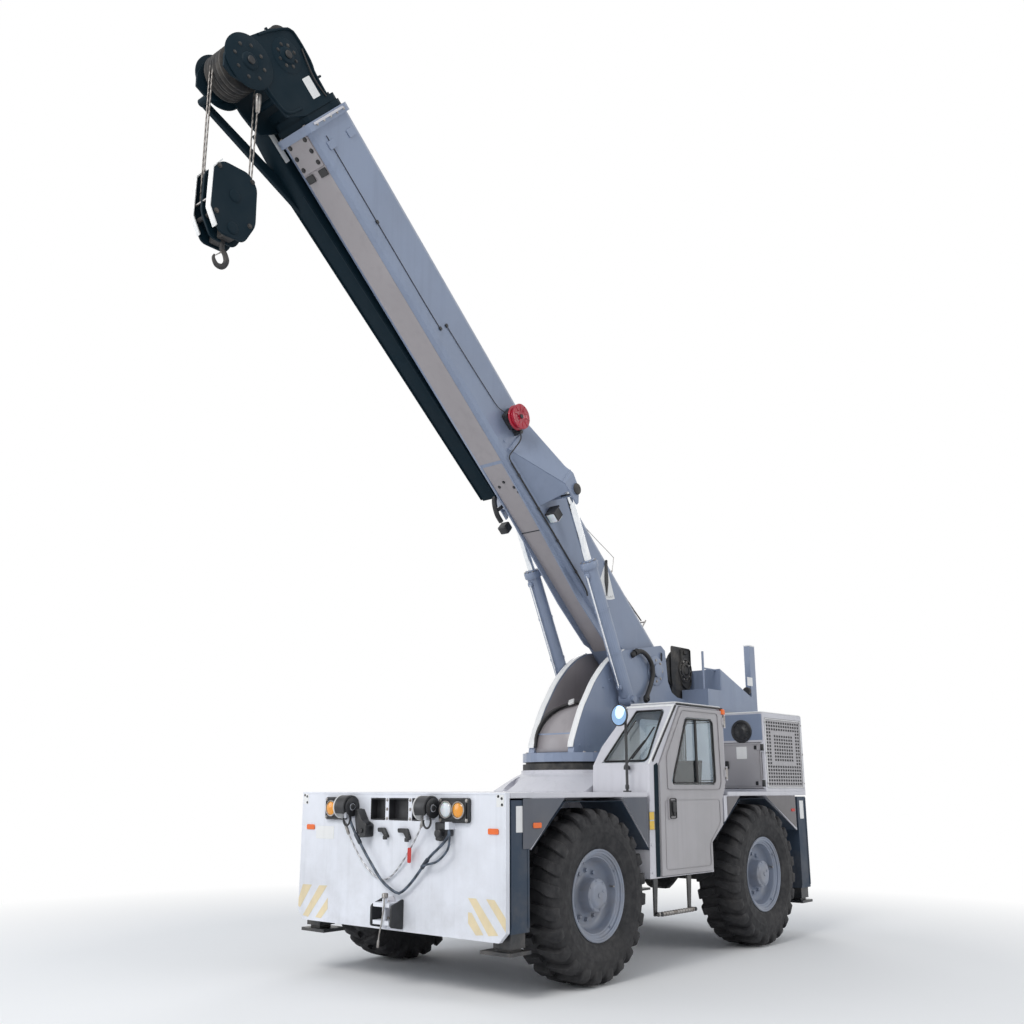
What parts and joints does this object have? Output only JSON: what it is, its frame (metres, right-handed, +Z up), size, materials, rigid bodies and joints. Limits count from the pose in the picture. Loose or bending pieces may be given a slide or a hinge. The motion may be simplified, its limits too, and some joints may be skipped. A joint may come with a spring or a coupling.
{
  "type": "rough-terrain mobile crane",
  "caption": "Four-wheel rough-terrain crane with side cab, slewing turntable, telescopic box boom held by lift cylinders, stowed side jib, hook block and box outriggers",
  "frame": {"origin": "on the ground under the middle of the overall box", "axes": "+Z up, front of the carrier and the boom towards -Y, cab side +X"},
  "size_m": [2.5, 7.4507, 7.7007],
  "materials": {
    "light_paint": "semi-gloss light gray paint",
    "plate_paint": "semi-gloss cool gray paint",
    "navy_paint": "satin dark blue-green paint",
    "rim_paint": "satin pale blue-gray paint",
    "dark_steel": "satin near-black paint over steel",
    "cast_iron_dark": "dark painted casting",
    "chrome_rod": "polished hard chrome",
    "tyre_rubber": "matt black tyre rubber",
    "reel_red": "gloss dark red",
    "cab_glass": "clear tinted glass",
    "seat_vinyl": "black grained vinyl",
    "steel_rope": "greased steel wire rope",
    "galvanised_rope": "bright galvanised wire rope"
  },
  "bodies": {
    "carrier": {"chassis_frame": "plate_paint", "front_plate": "plate_paint", "deck": "light_paint", "side_tanks": "light_paint", "cab_shell": "light_paint", "windscreen": "cab_glass", "cab_rear_glass": "cab_glass", "cab_inner_glass": "cab_glass", "operator_station": "dark_steel", "seat_cushion": "seat_vinyl", "cab_step": "dark_steel", "mirror": "dark_steel", "engine_hood": "light_paint", "radiator_guard": "light_paint", "engine_block": "cast_iron_dark", "slew_ring": "dark_steel", "front_axle": "cast_iron_dark", "rear_axle": "cast_iron_dark", "light_sling": "galvanised_rope", "dark_sling": "dark_steel"},
    "cab_door_leaf": {"cab_door": "light_paint", "door_glass": "cab_glass"},
    "hood_door_leaf": {"hood_access_door": "light_paint"},
    "front_left_steer_body": {"front_left_knuckle": "cast_iron_dark"},
    "front_left_wheel": {"front_left_tyre": "tyre_rubber", "front_left_rim": "rim_paint"},
    "front_right_steer_body": {"front_right_knuckle": "cast_iron_dark"},
    "front_right_wheel": {"front_right_tyre": "tyre_rubber", "front_right_rim": "rim_paint"},
    "front_left_beam": {"front_left_outrigger": "plate_paint"},
    "front_left_leg": {"front_left_jack": "dark_steel"},
    "front_right_beam": {"front_right_outrigger": "plate_paint"},
    "front_right_leg": {"front_right_jack": "dark_steel"},
    "rear_left_steer_body": {"rear_left_knuckle": "cast_iron_dark"},
    "rear_left_wheel": {"rear_left_tyre": "tyre_rubber", "rear_left_rim": "rim_paint"},
    "rear_right_steer_body": {"rear_right_knuckle": "cast_iron_dark"},
    "rear_right_wheel": {"rear_right_tyre": "tyre_rubber", "rear_right_rim": "rim_paint"},
    "rear_left_beam": {"rear_left_outrigger": "plate_paint"},
    "rear_left_leg": {"rear_left_jack": "dark_steel"},
    "rear_right_beam": {"rear_right_outrigger": "plate_paint"},
    "rear_right_leg": {"rear_right_jack": "dark_steel"},
    "superstructure": {"turntable": "light_paint", "counterweight": "light_paint", "winch": "dark_steel"},
    "boom": {"boom_base": "light_paint", "cable_reel": "reel_red", "stowed_jib": "navy_paint"},
    "middle_section": {"boom_middle": "navy_paint"},
    "tip_section": {"boom_tip": "navy_paint"},
    "lift_left_barrel": {"lift_barrel_left": "light_paint"},
    "lift_left_rod": {"lift_rod_left": "chrome_rod"},
    "lift_right_barrel": {"lift_barrel_right": "light_paint"},
    "lift_right_rod": {"lift_rod_right": "chrome_rod"},
    "hoist_falls": {"hoist_ropes": "steel_rope", "hook_block": "navy_paint"},
    "load_hook": {"hook": "dark_steel"}
  },
  "joints": [
    {"name": "cab_door_hinge", "type": "hinge", "parent": "carrier", "child": "cab_door_leaf", "pos_m": [1.188, 1.741, 1.9], "axis": [0, 0, 1], "range_deg": [0, 85]},
    {"name": "hood_door_hinge", "type": "hinge", "parent": "carrier", "child": "hood_door_leaf", "pos_m": [1.154, 2.583, 1.7], "axis": [0, 0, 1], "range_deg": [0, 95]},
    {"name": "front_left_steer", "type": "hinge", "parent": "carrier", "child": "front_left_steer_body", "pos_m": [0.86, -0.465, 0.67243], "axis": [0, 0, 1], "range_deg": [-22, 22]},
    {"name": "front_left_wheel_spin", "type": "hinge", "parent": "front_left_steer_body", "child": "front_left_wheel", "pos_m": [1.0275, -0.465, 0.67243], "axis": [1, 0, 0], "continuous": true},
    {"name": "front_right_steer", "type": "hinge", "parent": "carrier", "child": "front_right_steer_body", "pos_m": [-0.86, -0.465, 0.67243], "axis": [0, 0, 1], "range_deg": [-22, 22]},
    {"name": "front_right_wheel_spin", "type": "hinge", "parent": "front_right_steer_body", "child": "front_right_wheel", "pos_m": [-1.0275, -0.465, 0.67243], "axis": [1, 0, 0], "continuous": true},
    {"name": "front_left_beam_slide", "type": "slide", "parent": "carrier", "child": "front_left_beam", "axis": [1, 0, 0], "range_m": [0, 1.1]},
    {"name": "front_left_jack_slide", "type": "slide", "parent": "front_left_beam", "child": "front_left_leg", "axis": [0, 0, -1], "range_m": [0, 0.318]},
    {"name": "front_right_beam_slide", "type": "slide", "parent": "carrier", "child": "front_right_beam", "axis": [-1, 0, 0], "range_m": [0, 1.1]},
    {"name": "front_right_jack_slide", "type": "slide", "parent": "front_right_beam", "child": "front_right_leg", "axis": [0, 0, -1], "range_m": [0, 0.318]},
    {"name": "rear_left_steer", "type": "hinge", "parent": "carrier", "child": "rear_left_steer_body", "pos_m": [0.86, 2.355, 0.67243], "axis": [0, 0, 1], "range_deg": [-22, 22]},
    {"name": "rear_left_wheel_spin", "type": "hinge", "parent": "rear_left_steer_body", "child": "rear_left_wheel", "pos_m": [1.0275, 2.355, 0.67243], "axis": [1, 0, 0], "continuous": true},
    {"name": "rear_right_steer", "type": "hinge", "parent": "carrier", "child": "rear_right_steer_body", "pos_m": [-0.86, 2.355, 0.67243], "axis": [0, 0, 1], "range_deg": [-22, 22]},
    {"name": "rear_right_wheel_spin", "type": "hinge", "parent": "rear_right_steer_body", "child": "rear_right_wheel", "pos_m": [-1.0275, 2.355, 0.67243], "axis": [1, 0, 0], "continuous": true},
    {"name": "rear_left_beam_slide", "type": "slide", "parent": "carrier", "child": "rear_left_beam", "axis": [1, 0, 0], "range_m": [0, 1.1]},
    {"name": "rear_left_jack_slide", "type": "slide", "parent": "rear_left_beam", "child": "rear_left_leg", "axis": [0, 0, -1], "range_m": [0, 0.318]},
    {"name": "rear_right_beam_slide", "type": "slide", "parent": "carrier", "child": "rear_right_beam", "axis": [-1, 0, 0], "range_m": [0, 1.1]},
    {"name": "rear_right_jack_slide", "type": "slide", "parent": "rear_right_beam", "child": "rear_right_leg", "axis": [0, 0, -1], "range_m": [0, 0.318]},
    {"name": "slew", "type": "hinge", "parent": "carrier", "child": "superstructure", "pos_m": [0, 0.945, 1.745], "axis": [0, 0, -1], "continuous": true},
    {"name": "boom_luff", "type": "hinge", "parent": "superstructure", "child": "boom", "pos_m": [0, 1.964, 2.721], "axis": [-1, 0, 0], "range_deg": [-42, 34]},
    {"name": "boom_middle_slide", "type": "slide", "parent": "boom", "child": "middle_section", "axis": [0, -0.7431, 0.6691], "range_m": [0, 5]},
    {"name": "boom_tip_slide", "type": "slide", "parent": "middle_section", "child": "tip_section", "axis": [0, -0.7431, 0.6691], "range_m": [0, 5]},
    {"name": "lift_left_swing", "type": "hinge", "parent": "superstructure", "child": "lift_left_barrel", "pos_m": [0.36, 1.295, 2.372], "axis": [-1, 0, 0], "range_deg": [-44, 36]},
    {"name": "lift_left_stroke", "type": "slide", "parent": "lift_left_barrel", "child": "lift_left_rod", "axis": [0, -0.4332, 0.9013], "range_m": [-0.54, 0.44]},
    {"name": "lift_right_swing", "type": "hinge", "parent": "superstructure", "child": "lift_right_barrel", "pos_m": [-0.36, 1.295, 2.372], "axis": [-1, 0, 0], "range_deg": [-44, 36]},
    {"name": "lift_right_stroke", "type": "slide", "parent": "lift_right_barrel", "child": "lift_right_rod", "axis": [0, -0.4332, 0.9013], "range_m": [-0.54, 0.44]},
    {"name": "falls_plumb", "type": "hinge", "parent": "tip_section", "child": "hoist_falls", "pos_m": [0, -3.50665, 7.03184], "axis": [-1, 0, 0], "range_deg": [-36, 44]},
    {"name": "hook_swivel", "type": "hinge", "parent": "hoist_falls", "child": "load_hook", "pos_m": [0, -3.50665, 5.57184], "axis": [0, 0, 1], "continuous": true}
  ],
  "couplings": [
    {"joint": "front_right_steer", "follows": "front_left_steer", "ratio": 1},
    {"joint": "rear_right_steer", "follows": "rear_left_steer", "ratio": 1},
    {"joint": "boom_tip_slide", "follows": "boom_middle_slide", "ratio": 1},
    {"joint": "lift_left_swing", "follows": "boom_luff", "ratio": 1.012},
    {"joint": "lift_left_stroke", "follows": "boom_luff", "m_per_rad": 0.6959},
    {"joint": "lift_right_swing", "follows": "boom_luff", "ratio": 1.012},
    {"joint": "lift_right_stroke", "follows": "boom_luff", "m_per_rad": 0.6959},
    {"joint": "falls_plumb", "follows": "boom_luff", "ratio": -1}
  ]
}
